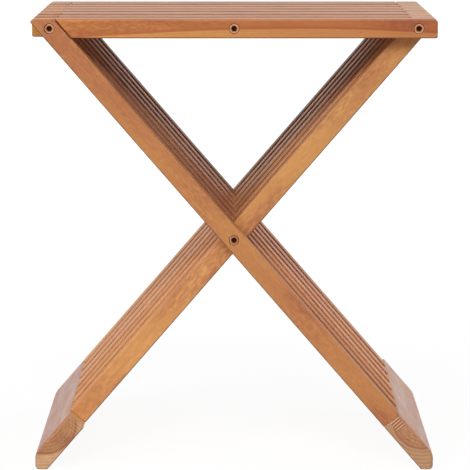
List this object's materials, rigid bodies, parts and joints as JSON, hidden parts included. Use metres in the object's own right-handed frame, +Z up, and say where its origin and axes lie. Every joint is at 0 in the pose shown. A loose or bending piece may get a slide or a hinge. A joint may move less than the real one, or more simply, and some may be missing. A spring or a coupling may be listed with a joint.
{
  "type": "folding stool",
  "caption": "Wooden folding stool whose interleaved strips form crossing leg frames and a flat slatted seat that folds up in the middle.",
  "frame": {"origin": "middle of the footprint, on the floor", "axes": "+X to the right along the seat slats, +Y to the back along the rods, +Z up"},
  "size_m": [0.4, 0.325, 0.45],
  "materials": {
    "leg_wood": "oiled hardwood",
    "slat_wood": "oiled hardwood",
    "rail_wood": "oiled hardwood",
    "rod_steel": "zinc plated",
    "nut_metal": "plated, satin",
    "washer_plastic": "moulded nylon"
  },
  "bodies": {
    "leg_frame_a": {"leg_a_strip_1": "leg_wood", "leg_a_strip_2": "leg_wood", "leg_a_strip_3": "leg_wood", "leg_a_strip_4": "leg_wood", "leg_a_strip_5": "leg_wood", "leg_a_strip_6": "leg_wood", "leg_a_strip_7": "leg_wood", "foot_rail_a": "rail_wood", "crossing_rod": "rod_steel", "left_rod": "rod_steel", "leg_a_nuts": "nut_metal", "crossing_washers": "washer_plastic", "left_washers": "washer_plastic"},
    "leg_frame_b": {"leg_b_strip_1": "leg_wood", "leg_b_strip_2": "leg_wood", "leg_b_strip_3": "leg_wood", "leg_b_strip_4": "leg_wood", "leg_b_strip_5": "leg_wood", "leg_b_strip_6": "leg_wood", "leg_b_strip_7": "leg_wood", "foot_rail_b": "rail_wood", "right_rod": "rod_steel", "leg_b_nuts": "nut_metal", "right_washers": "washer_plastic"},
    "right_slats": {"right_slat_1": "slat_wood", "right_slat_2": "slat_wood", "right_slat_3": "slat_wood", "right_slat_4": "slat_wood", "right_slat_5": "slat_wood", "right_slat_6": "slat_wood", "right_slat_7": "slat_wood", "centre_rod_right_slats": "rod_steel", "centre_nut_front": "nut_metal", "centre_washers": "washer_plastic"},
    "left_slats": {"left_slat_1": "slat_wood", "left_slat_2": "slat_wood", "left_slat_3": "slat_wood", "left_slat_4": "slat_wood", "left_slat_5": "slat_wood", "left_slat_6": "slat_wood", "left_slat_7": "slat_wood", "centre_rod_left_slats": "rod_steel", "centre_nut_back": "nut_metal"}
  },
  "joints": [
    {"name": "leg_fold", "type": "hinge", "parent": "leg_frame_a", "child": "leg_frame_b", "pos_m": [0, 0, 0.231], "axis": [0, -1, 0], "range_deg": [0, 76.5]},
    {"name": "left_slats_lift", "type": "hinge", "parent": "leg_frame_a", "child": "left_slats", "pos_m": [-0.1815, 0, 0.4405], "axis": [0, -1, 0], "range_deg": [0, 124.2]},
    {"name": "right_slats_lift", "type": "hinge", "parent": "leg_frame_b", "child": "right_slats", "pos_m": [0.1815, 0, 0.4405], "axis": [0, 1, 0], "range_deg": [0, 124.2]}
  ],
  "couplings": [
    {"joint": "left_slats_lift", "follows": "leg_fold", "ratio": 1.6235},
    {"joint": "right_slats_lift", "follows": "leg_fold", "ratio": 1.6235}
  ]
}
